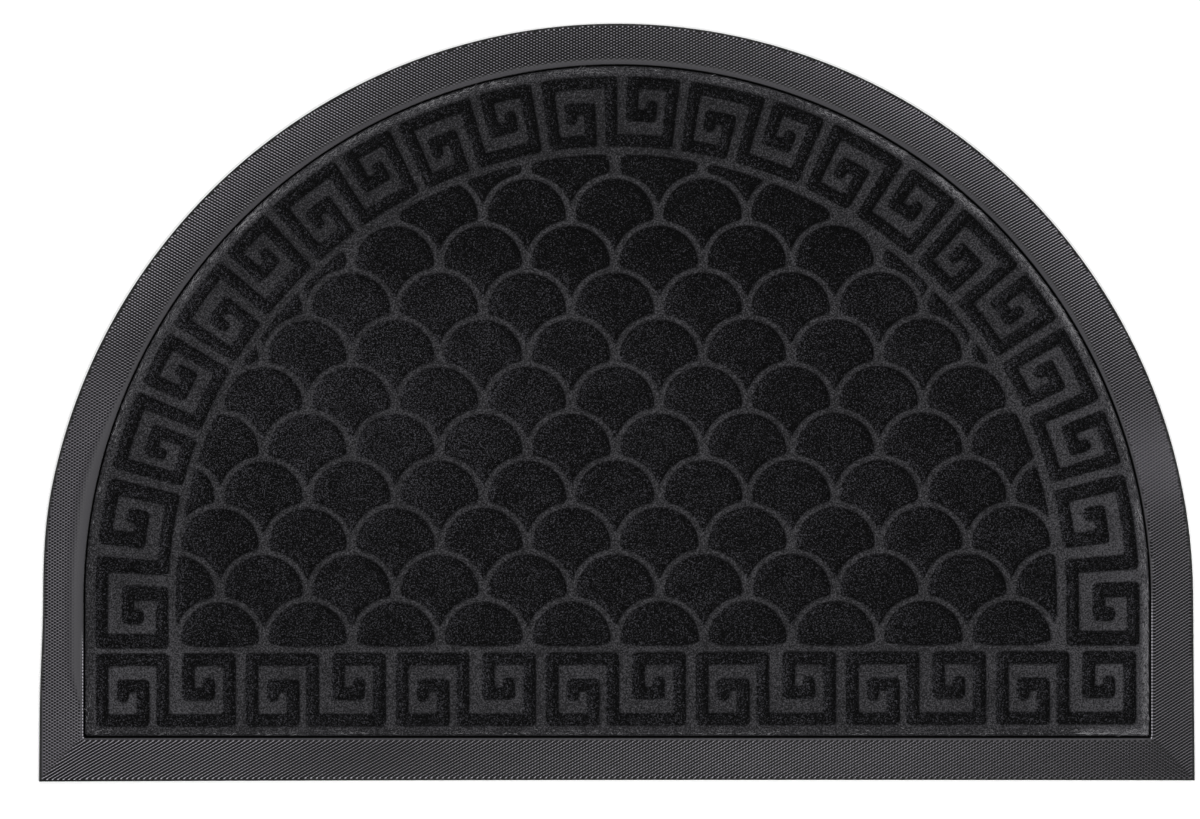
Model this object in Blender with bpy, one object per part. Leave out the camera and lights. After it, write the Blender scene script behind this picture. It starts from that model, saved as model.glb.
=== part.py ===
# Half-round doormat: a moulded rubber backing with a bevelled rim, and a needle-punched carpet insert.
# The insert's pile is pressed down in channels, which draw a Greek key border and a fish-scale field.
# Metres, +Z up. The origin is on the floor under the middle of the mat, and the straight edge faces -Y.

import math

import bmesh
import bpy
from mathutils import Vector
from mathutils.geometry import delaunay_2d_cdt

MM = 0.001
MERGE_DISTANCE = 0.0001 * MM

# The whole mat
MAT_WIDTH = 600 * MM
MAT_DEPTH = 392.8 * MM  # from the straight front edge to the crown of the arc
ARC_RADIUS = 299.2 * MM
ARC_CENTRE_Y = MAT_DEPTH / 2 - ARC_RADIUS
FRONT_Y = -MAT_DEPTH / 2
WAIST_DEPTH = 1.3 * MM  # the left side is drawn in a little where the arc meets the straight run
WAIST_REACH = 60 * MM
ARC_STEPS = 56
SIDE_STEPS = 4

# Rubber backing
RUBBER_COLOUR = (0.045, 0.044, 0.048)
RUBBER_ROUGHNESS = 0.55
SHARP_ANGLE = math.radians(25)
EDGE_HEIGHT = 1.5 * MM
EDGE_ROUND = 0.5 * MM
CREST_HEIGHT = 5.2 * MM
CREST_WIDTH = 3.4 * MM  # the smooth strip round the recess
CREST_ROUND = 0.5 * MM
BEVEL_CROWN = 0.5 * MM  # how far the bevel bulges above a straight slope
FLOOR_HEIGHT = 2.0 * MM
RECESS_CENTRE_X = 0.2 * MM
RECESS_SIDE_RADIUS = 276.7 * MM
RECESS_TOP_RADIUS = 277.8 * MM
RECESS_FRONT_Y = FRONT_Y + 22.3 * MM

# Carpet insert
CARPET_COLOUR = (0.014, 0.014, 0.016)
CARPET_ROUGHNESS = 0.95
INSERT_CENTRE_X = -0.3 * MM
INSERT_SIDE_RADIUS = 275.5 * MM
INSERT_TOP_RADIUS = 277.0 * MM
INSERT_FRONT_Y = FRONT_Y + 23.3 * MM
INSERT_BOTTOM = FLOOR_HEIGHT + 0.3 * MM
CHANNEL_HEIGHT = 4.8 * MM
PILE_HEIGHT = 7.8 * MM
PATTERN_TURN = 0.0025  # radians: the pressed pattern sits a little turned in the mat

# Greek key: one unit is two square spirals joined by a shared stroke, and the second is the first
# turned half round. Places and widths are fractions of the unit's length and height.
KEY_STROKE = 0.090
KEY_BAR = 0.171
KEY_HOOK_STROKE = 0.086
KEY_HOOK_PLACE = 0.193
KEY_INNER_PLACE = 0.338
KEY_ARM_PLACE = 0.445
KEY_HOOK_END = 0.668
KEY_HOOK_ROUND = 2.6 * MM
KEY_CORNER_CUT = 1.6 * MM
LARGEST_CUT = 0.45  # of the shorter side at a cut corner

# The straight row of keys along the front
ROW_KEYS = 7
ROW_PITCH = 77.8 * MM
ROW_KEY_LENGTH = 72.6 * MM
ROW_KEY_HEIGHT = 38.1 * MM
ROW_START_X = -270.0 * MM
ROW_TOP_Y = FRONT_Y + 66.6 * MM
ROW_SHARED_PLACE = 0.478

# The ring of keys: degrees that each takes, from an end of the ring to its middle key
RING_SPANS = (19.25, 16.15, 15.85, 15.55, 15.45, 15.45)
RING_GAP = 1.1
RING_MIDDLE = 90.1
RING_OUTER_SIDE = 270.7 * MM
RING_OUTER_TOP = 271.6 * MM
RING_INNER_SIDE = 232.9 * MM
RING_INNER_TOP = 235.4 * MM
RING_SHARED_PLACE = 0.504
STRAIGHT_PER_DEGREE = 4.41 * MM  # length of a degree where an end key runs on down the straight side
LONGEST_STRAIGHT = 0.22  # of a key's length, before its run is divided to bend with the ring

# The fish-scale field
SCALE_PITCH = 45.6 * MM
SCALE_ROW_PITCH = 24.35 * MM
SCALE_X = -0.35 * MM
SCALE_TOP_ROW_Y = 121.0 * MM
SCALE_ROWS = 11
SCALE_HALF_WIDTH = 20.2 * MM
SCALE_RISE = 19.0 * MM
SCALE_CUT_HALF_WIDTH = 23.4 * MM
SCALE_CUT_RISE = 21.9 * MM
SCALE_CORNER_CUT = 1.3 * MM
SCALE_DOME_STEPS = 8
SCALE_SIDE_STEPS = 3
SHOULDER_HALVINGS = 40
FIELD_SIDE_RADIUS = 228.4 * MM
FIELD_TOP_RADIUS = 231.2 * MM
FIELD_FRONT_Y = FRONT_Y + 69.8 * MM
SMALLEST_SCALE = 40 * MM * MM  # what the field's border leaves of a scale is raised from this area up
SHORTEST_EDGE = 0.5 * MM


def clear_scene():
    for thing in list(bpy.data.objects):
        bpy.data.objects.remove(thing, do_unlink=True)


def material(name, colour, roughness):
    made = bpy.data.materials.new(name)
    made.use_nodes = True
    shader = made.node_tree.nodes["Principled BSDF"]
    shader.inputs["Base Color"].default_value = (*colour, 1)
    shader.inputs["Roughness"].default_value = roughness
    shader.inputs["Metallic"].default_value = 0
    return made


def add_object(name, mesh, finish):
    made = bpy.data.objects.new(name, mesh)
    bpy.context.scene.collection.objects.link(made)
    mesh.materials.append(finish)
    return made


def oval_radius(angle, side_radius, top_radius):
    """The radius of an arc that is side_radius at its two ends and top_radius at its crown."""
    return side_radius + (top_radius - side_radius) * math.sin(angle) ** 2


def half_round(side_radius, top_radius, front_y, centre_x=0.0, front_half_width=None):
    """A half-round outline, anticlockwise from its front left corner."""
    front = side_radius if front_half_width is None else front_half_width
    rise = ARC_CENTRE_Y - front_y
    points = [(centre_x - front, front_y), (centre_x + front, front_y)]
    for step in range(1, SIDE_STEPS):
        share = step / SIDE_STEPS
        points.append((centre_x + front + (side_radius - front) * share, front_y + rise * share))
    for step in range(ARC_STEPS + 1):
        angle = math.pi * step / ARC_STEPS
        radius = oval_radius(angle, side_radius, top_radius)
        points.append((centre_x + radius * math.cos(angle), ARC_CENTRE_Y + radius * math.sin(angle)))
    for step in range(SIDE_STEPS - 1, 0, -1):
        share = step / SIDE_STEPS
        points.append((centre_x - front - (side_radius - front) * share, front_y + rise * share))
    return points


def drawn_in(points):
    """Moves the left side of an outline in by the waist."""
    moved = []
    for x, y in points:
        reach = abs(y - ARC_CENTRE_Y) / WAIST_REACH
        if x < 0 and reach < 1:
            x += WAIST_DEPTH * math.cos(math.pi / 2 * reach) ** 2
        moved.append((x, y))
    return moved


def mat_edge(inset):
    """The mat's outline, moved in by inset."""
    radius = ARC_RADIUS - inset
    outline = half_round(radius, radius, FRONT_Y + inset, 0.0, MAT_WIDTH / 2 - inset)
    return drawn_in(outline)


def recess_edge(outset=0.0):
    return half_round(
        RECESS_SIDE_RADIUS + outset,
        RECESS_TOP_RADIUS + outset,
        RECESS_FRONT_Y - outset,
        RECESS_CENTRE_X,
    )


def between(outline_a, outline_b, share):
    return [
        (ax + (bx - ax) * share, ay + (by - ay) * share)
        for (ax, ay), (bx, by) in zip(outline_a, outline_b)
    ]


def rubber_backing(finish):
    """A tray: the outline is carried up its edge, over the bevel and crest, and down into the recess."""
    edge = mat_edge(EDGE_ROUND)
    crest = recess_edge(CREST_WIDTH)
    slope = CREST_HEIGHT - EDGE_HEIGHT
    rings = [
        (mat_edge(0.0), 0.0),
        (mat_edge(0.0), EDGE_HEIGHT - EDGE_ROUND),
        (edge, EDGE_HEIGHT),
        (between(edge, crest, 0.5), EDGE_HEIGHT + slope / 2 + BEVEL_CROWN),
        (crest, CREST_HEIGHT),
        (recess_edge(CREST_ROUND), CREST_HEIGHT),
        (recess_edge(), CREST_HEIGHT - CREST_ROUND),
        (recess_edge(), FLOOR_HEIGHT),
    ]
    shape = bmesh.new()
    loops = [[shape.verts.new((x, y, height)) for x, y in outline] for outline, height in rings]
    for lower, upper in zip(loops, loops[1:]):
        for index in range(len(lower)):
            after = (index + 1) % len(lower)
            shape.faces.new((lower[index], lower[after], upper[after], upper[index]))
    shape.faces.new(loops[-1])
    shape.faces.new(loops[0][::-1])
    bmesh.ops.recalc_face_normals(shape, faces=shape.faces)
    mesh = bpy.data.meshes.new("rubber_backing")
    shape.to_mesh(mesh)
    shape.free()
    mesh.shade_smooth()
    mesh.set_sharp_from_angle(angle=SHARP_ANGLE)
    return add_object("rubber_backing", mesh, finish)


def key_path(shared_place):
    """Centre line of a key unit and the stroke width of each run, in fractions, with v up the unit."""
    half_stroke = KEY_STROKE / 2
    half_bar = KEY_BAR / 2
    hook, inner = KEY_HOOK_PLACE, KEY_INNER_PLACE
    arm, hook_end = 1 - KEY_ARM_PLACE, 1 - KEY_HOOK_END
    low, high = half_bar, 1 - half_bar
    first_spiral = [
        (hook, hook_end),
        (hook, arm),
        (inner, arm),
        (inner, low),
        (half_stroke, low),
        (half_stroke, high),
        (shared_place, high),
    ]
    second_spiral = [(1 - u, 1 - v) for u, v in reversed(first_spiral)]
    second_spiral[0] = (shared_place, low)
    widths = [KEY_HOOK_STROKE] + [KEY_BAR, KEY_STROKE] * 5 + [KEY_BAR, KEY_HOOK_STROKE]
    return first_spiral + second_spiral, widths


def key_outline(shared_place, length, height):
    """Outline of a key unit in its own length and height, anticlockwise: both sides of the centre line,
    with square corners, cut across where they point outwards, and with round hook ends."""
    path, widths = key_path(shared_place)
    path = [(u * length, v * height) for u, v in path]
    widths = [
        share * (length if index % 2 == 0 else height) for index, share in enumerate(widths)
    ]
    runs = []
    for (u0, v0), (u1, v1) in zip(path, path[1:]):
        size = math.hypot(u1 - u0, v1 - v0)
        runs.append(((u1 - u0) / size, (v1 - v0) / size))
    sides = []
    for side in (1, -1):
        edge = []
        for index, (u, v) in enumerate(path):
            before = max(index - 1, 0)
            after = min(index, len(runs) - 1)
            nearby = {before, after}
            for run in nearby:
                du, dv = runs[run]
                u -= side * dv * widths[run] / 2
                v += side * du * widths[run] / 2
            edge.append((u, v))
        sides.append(edge)
    left, right = sides
    ring = left + right[::-1]
    hook_ends = {0, len(left) - 1, len(left), len(ring) - 1}
    outline = []
    for index, point in enumerate(ring):
        previous, following = ring[index - 1], ring[(index + 1) % len(ring)]
        if index in hook_ends:
            outline += cut_corner(previous, point, following, KEY_HOOK_ROUND, middle=True)
        elif is_outward(previous, point, following):
            outline += cut_corner(previous, point, following, KEY_CORNER_CUT)
        else:
            outline.append(point)
    return outline[::-1]


def is_outward(previous, point, following):
    """Whether the corner sticks out of an outline that runs clockwise."""
    ax, ay = point[0] - previous[0], point[1] - previous[1]
    bx, by = following[0] - point[0], following[1] - point[1]
    return ax * by - ay * bx < 0


def cut_corner(previous, point, following, reach, middle=False):
    """Replaces a corner by two points, each at most reach away from it, or by three on a curve."""
    ends = []
    for other in (previous, following):
        du, dv = other[0] - point[0], other[1] - point[1]
        size = math.hypot(du, dv)
        share = min(reach, size * LARGEST_CUT) / size
        ends.append((point[0] + du * share, point[1] + dv * share))
    if not middle:
        return ends
    (au, av), (bu, bv) = ends
    rounding = ((au + bu) / 2 + point[0]) / 2, ((av + bv) / 2 + point[1]) / 2
    return [ends[0], rounding, ends[1]]


def turned(points):
    """Turns a part of the pattern by the small angle at which the pattern sits in the mat."""
    cos, sin = math.cos(PATTERN_TURN), math.sin(PATTERN_TURN)
    return [(x * cos - y * sin, x * sin + y * cos) for x, y in points]


def row_keys():
    outline = key_outline(ROW_SHARED_PLACE, ROW_KEY_LENGTH, ROW_KEY_HEIGHT)
    bottom = ROW_TOP_Y - ROW_KEY_HEIGHT
    keys = []
    for index in range(ROW_KEYS):
        left = ROW_START_X + index * ROW_PITCH
        keys.append(turned([(left + u, bottom + v) for u, v in outline]))
    return keys


def ring_point(degrees, depth):
    """A point of the ring: degrees from its left end line, and depth 0 at its outer edge to 1 at its
    inner edge. Below the arc's centre the ring runs on straight down."""
    held = min(max(degrees, 0.0), 180.0)
    angle = math.radians(held)
    outer = oval_radius(angle, RING_OUTER_SIDE, RING_OUTER_TOP)
    inner = oval_radius(angle, RING_INNER_SIDE, RING_INNER_TOP)
    radius = outer + (inner - outer) * depth
    drop = abs(degrees - held) * STRAIGHT_PER_DEGREE
    return -radius * math.cos(angle), ARC_CENTRE_Y + radius * math.sin(angle) - drop


def subdivided(points, longest):
    """Adds points along the runs that follow the ring, so that they can bend with it."""
    finer = []
    for index, (u, v) in enumerate(points):
        next_u, next_v = points[(index + 1) % len(points)]
        pieces = max(1, math.ceil(abs(next_u - u) / longest))
        for piece in range(pieces):
            share = piece / pieces
            finer.append((u + (next_u - u) * share, v + (next_v - v) * share))
    return finer


def ring_keys():
    spans = list(RING_SPANS) + list(RING_SPANS[-2::-1])
    total = sum(spans) + RING_GAP * (len(spans) - 1)
    start = RING_MIDDLE - total / 2
    height = RING_OUTER_TOP - RING_INNER_TOP
    keys = []
    for span in spans:
        length = math.radians(span) * (RING_OUTER_TOP + RING_INNER_TOP) / 2
        outline = key_outline(RING_SHARED_PLACE, length, height)
        outline = subdivided(outline, length * LONGEST_STRAIGHT)
        keys.append([ring_point(start + u / length * span, 1 - v / height) for u, v in outline])
        start += span + RING_GAP
    return keys


def oval_arc(centre, half_width, rise, first, last, steps):
    """Points on an ellipse from angle first to angle last."""
    points = []
    for step in range(steps + 1):
        angle = first + (last - first) * step / steps
        points.append((centre[0] + half_width * math.cos(angle), centre[1] + rise * math.sin(angle)))
    return points


def scale_outline():
    """One whole scale about its dome's centre: a dome, and below it two hollow sides, left by the domes
    of the next row, that meet in a point."""
    hollow_x, hollow_y = SCALE_PITCH / 2, -SCALE_ROW_PITCH
    across = hollow_x / SCALE_CUT_HALF_WIDTH
    tip_angle = math.acos(-across)
    shoulder_angle = shoulder()
    dome = oval_arc((0, 0), SCALE_HALF_WIDTH, SCALE_RISE, shoulder_angle, math.pi - shoulder_angle,
                    SCALE_DOME_STEPS)
    x, y = dome[0]
    top_angle = math.atan2((y - hollow_y) / SCALE_CUT_RISE, (x - hollow_x) / SCALE_CUT_HALF_WIDTH)
    right_side = oval_arc((hollow_x, hollow_y), SCALE_CUT_HALF_WIDTH, SCALE_CUT_RISE, tip_angle,
                          top_angle, SCALE_SIDE_STEPS)
    left_side = [(-x, y) for x, y in reversed(right_side)]
    outline = dome + left_side[1:] + right_side[1:-1]
    return outline, (0, SCALE_DOME_STEPS, SCALE_DOME_STEPS + SCALE_SIDE_STEPS)


def shoulder():
    """The dome's angle where it meets the hollow side, found by halving."""
    low, high = -math.pi / 2, math.pi / 2
    for _ in range(SHOULDER_HALVINGS):
        angle = (low + high) / 2
        x = (SCALE_HALF_WIDTH * math.cos(angle) - SCALE_PITCH / 2) / SCALE_CUT_HALF_WIDTH
        y = (SCALE_RISE * math.sin(angle) + SCALE_ROW_PITCH) / SCALE_CUT_RISE
        if math.hypot(x, y) < 1:
            low = angle
        else:
            high = angle
    return high


def clipped(points, border):
    """The part of an outline inside a convex border that runs anticlockwise."""
    for index in range(len(border)):
        (ax, ay), (bx, by) = border[index], border[(index + 1) % len(border)]

        def inside(point):
            return (bx - ax) * (point[1] - ay) - (by - ay) * (point[0] - ax)

        kept = []
        for place, point in enumerate(points):
            previous = points[place - 1]
            here, before = inside(point), inside(previous)
            if (here < 0) != (before < 0):
                share = before / (before - here)
                kept.append(tuple(p + (q - p) * share for p, q in zip(previous, point)))
            if here >= 0:
                kept.append(point)
        points = kept
        if not points:
            break
    return points


def area(points):
    total = 0.0
    for index, (x, y) in enumerate(points):
        total += points[index - 1][0] * y - x * points[index - 1][1]
    return total / 2


def without_short_edges(points):
    kept = []
    for point in points:
        if not kept or math.dist(kept[-1], point) > SHORTEST_EDGE:
            kept.append(point)
    if math.dist(kept[-1], kept[0]) <= SHORTEST_EDGE:
        kept.pop()
    return kept


def scales():
    outline, corners = scale_outline()
    whole = []
    for index, point in enumerate(outline):
        if index in corners:
            following = outline[(index + 1) % len(outline)]
            whole += cut_corner(outline[index - 1], point, following, SCALE_CORNER_CUT)
        else:
            whole.append(point)
    border = half_round(FIELD_SIDE_RADIUS, FIELD_TOP_RADIUS, FIELD_FRONT_Y)
    columns = math.ceil(FIELD_TOP_RADIUS / SCALE_PITCH)
    made = []
    for row in range(SCALE_ROWS):
        centre_y = SCALE_TOP_ROW_Y - row * SCALE_ROW_PITCH
        shift = 0.5 if row % 2 == 0 else 0.0
        for column in range(-columns, columns + 1):
            centre_x = SCALE_X + (column + shift) * SCALE_PITCH
            placed = clipped([(centre_x + x, centre_y + y) for x, y in whole], border)
            if len(placed) < 3 or area(placed) < SMALLEST_SCALE:
                continue
            made.append(turned(without_short_edges(placed)))
    return made


def carpet_insert(finish):
    """The pressed sheet is triangulated with every raised figure in it. The figures' faces are then drawn
    up to the pile's height, and the sheet's edge is drawn down to its underside."""
    border = half_round(INSERT_SIDE_RADIUS, INSERT_TOP_RADIUS, INSERT_FRONT_Y, INSERT_CENTRE_X)
    figures = row_keys() + ring_keys() + scales()
    points, outlines = [], []
    for outline in [border] + figures:
        outlines.append(list(range(len(points), len(points) + len(outline))))
        points += [Vector(point) for point in outline]
    flat, _, triangles, _, _, sources = delaunay_2d_cdt(points, [], outlines, 1, MERGE_DISTANCE)
    shape = bmesh.new()
    verts = [shape.verts.new((x, y, CHANNEL_HEIGHT)) for x, y in flat]
    raised = []
    for corners, source in zip(triangles, sources):
        face = shape.faces.new([verts[corner] for corner in corners])
        if any(index > 0 for index in source):
            raised.append(face)
    drawn_up = bmesh.ops.extrude_face_region(shape, geom=raised)["geom"]
    tops = [part for part in drawn_up if isinstance(part, bmesh.types.BMVert)]
    bmesh.ops.translate(shape, verts=tops, vec=(0, 0, PILE_HEIGHT - CHANNEL_HEIGHT))
    bmesh.ops.delete(shape, geom=raised, context="FACES")
    rim = verts[: len(border)]
    under = [shape.verts.new((vert.co.x, vert.co.y, INSERT_BOTTOM)) for vert in rim]
    for index in range(len(rim)):
        after = (index + 1) % len(rim)
        shape.faces.new((under[index], under[after], rim[after], rim[index]))
    shape.faces.new(under[::-1])
    bmesh.ops.recalc_face_normals(shape, faces=shape.faces)
    mesh = bpy.data.meshes.new("carpet_insert")
    shape.to_mesh(mesh)
    shape.free()
    return add_object("carpet_insert", mesh, finish)


def build():
    clear_scene()
    rubber_backing(material("black_rubber", RUBBER_COLOUR, RUBBER_ROUGHNESS))
    carpet_insert(material("charcoal_carpet", CARPET_COLOUR, CARPET_ROUGHNESS))


build()
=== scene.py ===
import math

import bpy
import numpy as np
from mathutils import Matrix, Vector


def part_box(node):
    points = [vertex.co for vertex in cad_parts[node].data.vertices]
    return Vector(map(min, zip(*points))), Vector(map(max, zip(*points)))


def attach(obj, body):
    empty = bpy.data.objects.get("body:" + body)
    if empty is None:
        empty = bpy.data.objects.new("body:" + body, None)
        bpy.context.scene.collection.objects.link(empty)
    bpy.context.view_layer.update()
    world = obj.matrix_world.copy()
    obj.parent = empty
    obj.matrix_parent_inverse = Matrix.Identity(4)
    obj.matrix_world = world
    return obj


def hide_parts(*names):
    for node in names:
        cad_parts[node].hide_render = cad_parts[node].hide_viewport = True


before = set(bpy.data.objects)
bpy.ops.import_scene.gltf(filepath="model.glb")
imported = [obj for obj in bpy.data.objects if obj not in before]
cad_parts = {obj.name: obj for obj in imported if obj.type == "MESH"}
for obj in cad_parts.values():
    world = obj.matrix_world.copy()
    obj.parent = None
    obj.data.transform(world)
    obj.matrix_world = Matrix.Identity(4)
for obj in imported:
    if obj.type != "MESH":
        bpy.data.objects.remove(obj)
view = bpy.context.scene
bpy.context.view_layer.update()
mm = 0.001
tiny = 1e-9  # keeps a divisor off zero
matLow, matHigh = [np.array(corner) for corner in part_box("rubber_backing")]
insertLow, insertHigh = [np.array(corner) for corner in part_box("carpet_insert")]
frontY = matLow[1]

# The half-round outline that the mat's borders share
outline = {
    "arcRadius": 299.2 * mm,
    "waistDepth": 1.3 * mm,  # how far the left side is drawn in where the arc ends
    "waistReach": 60 * mm,
    "frontReach": 0.7 * mm,  # how far the front edge comes out beyond the plain solid
    "frontBow": 0.9 * mm,  # and it isn't quite straight
    "bowMiddle": 90 * mm,
    "bowReach": 390 * mm,
    "cornerEase": 1.4 * mm,  # the recess's and the insert's corners are rounded over this much
}
centreY = matHigh[1] - outline["arcRadius"]


# Borders: each distance is positive inside

# Eases the corner where two distances meet: their smaller one, less a share of how close they are
def easedLesser(a, b, reach):
    close = np.maximum(reach - np.abs(a - b), 0) / reach
    return np.minimum(a, b) - close * close * reach / 4


# Half-round: above the arc's centre, the border's radius at that angle less the point's own; below it,
# the half width less the distance from the middle; and at most the distance behind the front edge.
def halfRoundDistance(x, y, sideRadius, topRadius, borderFrontY, centreX):
    up = np.maximum(y - centreY, 0)
    radius = np.maximum(np.hypot(x - centreX, up), tiny)
    border = sideRadius + (topRadius - sideRadius) * (up / radius) ** 2
    return easedLesser(border - radius, y - borderFrontY, outline["cornerEase"])


# The mat's own border: half-round, a little wider at the front corners, drawn in at the left spring
# line, and with a front edge that bows inwards.
def matDistance(x, y):
    radius = np.hypot(x, np.maximum(y - centreY, 0))
    run = np.clip((centreY - y) / (centreY - frontY), 0, 1)
    flare = (matHigh[0] - outline["arcRadius"]) * run
    reach = np.clip(np.abs(y - centreY) / outline["waistReach"], 0, 1)
    waist = np.where(x < 0, outline["waistDepth"] * np.cos(math.pi / 2 * reach) ** 2, 0)
    return np.minimum(outline["arcRadius"] + flare - waist - radius, y - matFrontY(x))


def matFrontY(x):
    off = (x - outline["bowMiddle"]) / outline["bowReach"]
    return frontY - outline["frontReach"] + outline["frontBow"] * np.maximum(1 - off ** 2, 0)


# Sine of a point's angle round the arc's centre: 0 at the spring line and 1 at the crown
def arcSine(x, y):
    return (y - centreY) / np.maximum(np.hypot(x, y - centreY), tiny)


# Slope of a distance, by differences over a short step
def slope(distance, x, y, step=0.05 * mm):
    across = distance(x + step, y) - distance(x - step, y)
    along = distance(x, y + step) - distance(x, y - step)
    return across / (2 * step), along / (2 * step)


# Moves points straight along a distance's slope until it has the wanted value there
def movedTo(distance, x, y, wanted=0.0, times=3):
    for _ in range(times):
        across, along = slope(distance, x, y)
        short = (wanted - distance(x, y)) / np.maximum(across ** 2 + along ** 2, 1e-6)
        x, y = x + across * short, y + along * short
    return x, y


# Smooth random unevenness from -1 to 1: a seeded grid of random values, blended between its four
# nearest points with eased weights
def unevenness(x, y, size, seed, count=512):
    table = np.random.default_rng(seed).uniform(-1, 1, (count, count))
    u, v = x / size + count / 2, y / size + count / 2
    column, line = np.floor(u).astype(int), np.floor(v).astype(int)
    s, t = u - column, v - line
    s, t = s * s * (3 - 2 * s), t * t * (3 - 2 * t)
    column, line = column % (count - 1), line % (count - 1)
    lower = table[line, column] * (1 - s) + table[line, column + 1] * s
    upper = table[line + 1, column] * (1 - s) + table[line + 1, column + 1] * s
    return lower * (1 - t) + upper * t


def smoothStep(value, low, high):
    share = np.clip((value - low) / (high - low), 0, 1)
    return share * share * (3 - 2 * share)


# Meshes from whole arrays

def makeMesh(name, points, faceGroups, finish, values=None, isSmooth=True):
    mesh = bpy.data.meshes.new(name)
    loops = np.concatenate([faces.ravel() for faces in faceGroups]).astype(np.int32)
    sizes = np.concatenate([np.full(len(faces), faces.shape[1]) for faces in faceGroups])
    starts = np.concatenate([[0], np.cumsum(sizes)[:-1]]).astype(np.int32)
    mesh.vertices.add(len(points))
    mesh.vertices.foreach_set("co", points.astype(np.float32).ravel())
    mesh.loops.add(len(loops))
    mesh.loops.foreach_set("vertex_index", loops)
    mesh.polygons.add(len(sizes))
    mesh.polygons.foreach_set("loop_start", starts)
    mesh.polygons.foreach_set("use_smooth", np.zeros(len(sizes), bool) | isSmooth)
    mesh.update(calc_edges=True)
    for label, column in (values or {}).items():
        attribute = mesh.attributes.new(label, "FLOAT", "POINT")
        attribute.data.foreach_set("value", column.astype(np.float32))
    mesh.materials.append(finish)
    made = bpy.data.objects.new(name, mesh)
    view.collection.objects.link(made)
    print(f"{name}: {len(points)} points, {(sizes - 2).sum()} triangles")
    return made


# The quads of a slanted grid whose middles lie inside a border. Its points are whole multiples of two
# steps, with spare cells because a warp draws them in, and the outermost ones are evened out along
# their loop and moved onto the border.
def gridInside(distance, stepA, stepB, corners, warp=None, spareCells=5, evenings=4):
    basis = np.array([stepA, stepB]).T
    box = np.array([[x, y] for x in (matLow[0], matHigh[0]) for y in (matLow[1], matHigh[1])])
    reach = np.linalg.solve(basis, box.T)
    low = np.floor(reach.min(1)).astype(int) - spareCells
    high = np.ceil(reach.max(1)).astype(int) + spareCells + 1
    i, j = np.meshgrid(np.arange(low[0], high[0]), np.arange(low[1], high[1]), indexing="ij")
    x = i * stepA[0] + j * stepB[0]
    y = i * stepA[1] + j * stepB[1]
    if warp:
        x, y = warp(x, y)
    middleX = (x[:-1, :-1] + x[1:, 1:]) / 2
    middleY = (y[:-1, :-1] + y[1:, 1:]) / 2
    kept = distance(middleX, middleY) > 0
    number = np.arange(x.size).reshape(x.shape)
    quads = np.stack([number[:-1, :-1], number[1:, :-1], number[1:, 1:], number[:-1, 1:]], -1)[kept]
    used, quads = np.unique(quads, return_inverse=True)
    quads = quads.reshape(-1, 4)
    x, y = x.ravel()[used], y.ravel()[used]
    cells = np.stack([i.ravel()[used], j.ravel()[used]], 1)
    edges = openEdges(quads)
    rim = np.unique(edges)
    before, after = np.arange(len(x)), np.arange(len(x))
    after[edges[:, 0]] = edges[:, 1]
    before[edges[:, 1]] = edges[:, 0]
    for _ in range(evenings):
        x[rim] = (x[before[rim]] + 2 * x[rim] + x[after[rim]]) / 4
        y[rim] = (y[before[rim]] + 2 * y[rim] + y[after[rim]]) / 4
        x[rim], y[rim] = movedTo(distance, x[rim], y[rim])
    pinned = []
    for corner in corners:
        nearest = rim[np.argmin(np.hypot(x[rim] - corner[0], y[rim] - corner[1]))]
        x[nearest], y[nearest] = corner
        pinned.append(nearest)
    return x, y, quads, edges, cells, pinned


# Edges that only one face uses, each in that face's direction
def openEdges(faces):
    after = np.roll(faces, -1, axis=1)
    edges = np.stack([faces.ravel(), after.ravel()], 1)
    _, first, uses = np.unique(np.sort(edges, 1), axis=0, return_index=True, return_counts=True)
    return edges[first[uses == 1]]


# Carries an open edge loop over further rings and closes it with a fan to one point. Each ring is a
# distance, the value it has there, a height, and its corners.
def skirt(x, y, edges, pinned, rings, closing, firstNumber):
    rim, local = np.unique(edges, return_inverse=True)
    local = local.reshape(-1, 2)
    held = [int(np.searchsorted(rim, pin)) for pin in pinned]
    points, faces = [], []
    a, b = edges[:, 0], edges[:, 1]
    ringX, ringY = x[rim], y[rim]
    for distance, wanted, height, corners in rings:
        ringX, ringY = movedTo(distance, ringX, ringY, wanted)
        for place, corner in zip(held, corners):
            ringX[place], ringY[place] = corner
        points.append(np.stack([ringX, ringY, np.broadcast_to(height, len(rim))], 1))
        nextA, nextB = firstNumber + local[:, 0], firstNumber + local[:, 1]
        faces.append(np.stack([nextA, nextB, b, a], 1))
        a, b = nextA, nextB
        firstNumber += len(rim)
    points.append(np.array([closing]))
    fan = np.stack([np.full(len(a), firstNumber), b, a], 1)
    return points, faces, fan


# Materials: node trees. A finish is a name, a roughness, a specular level and a colour.

def newFinish(name, roughness, specular, colour=None):
    finish = bpy.data.materials.new(name)
    finish.use_nodes = True
    shader = finish.node_tree.nodes["Principled BSDF"]
    shader.inputs["Roughness"].default_value = roughness
    shader.inputs["Specular IOR Level"].default_value = specular
    if colour:
        shader.inputs["Base Color"].default_value = (*colour, 1)
    return finish, finish.node_tree, shader


def addNode(tree, kind, sockets=None, **settings):
    node = tree.nodes.new(kind)
    for label, value in settings.items():
        setattr(node, label, value)
    for label, value in (sockets or {}).items():
        node.inputs[label].default_value = value
    return node


def link(tree, fromNode, fromSocket, toNode, toSocket):
    tree.links.new(fromNode.outputs[fromSocket], toNode.inputs[toSocket])


def noise(tree, place, fineness, detail=2.0, roughness=0.5):
    sockets = {"Scale": fineness, "Detail": detail, "Roughness": roughness}
    node = addNode(tree, "ShaderNodeTexNoise", sockets)
    link(tree, place, "Object", node, "Vector")
    return node


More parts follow.
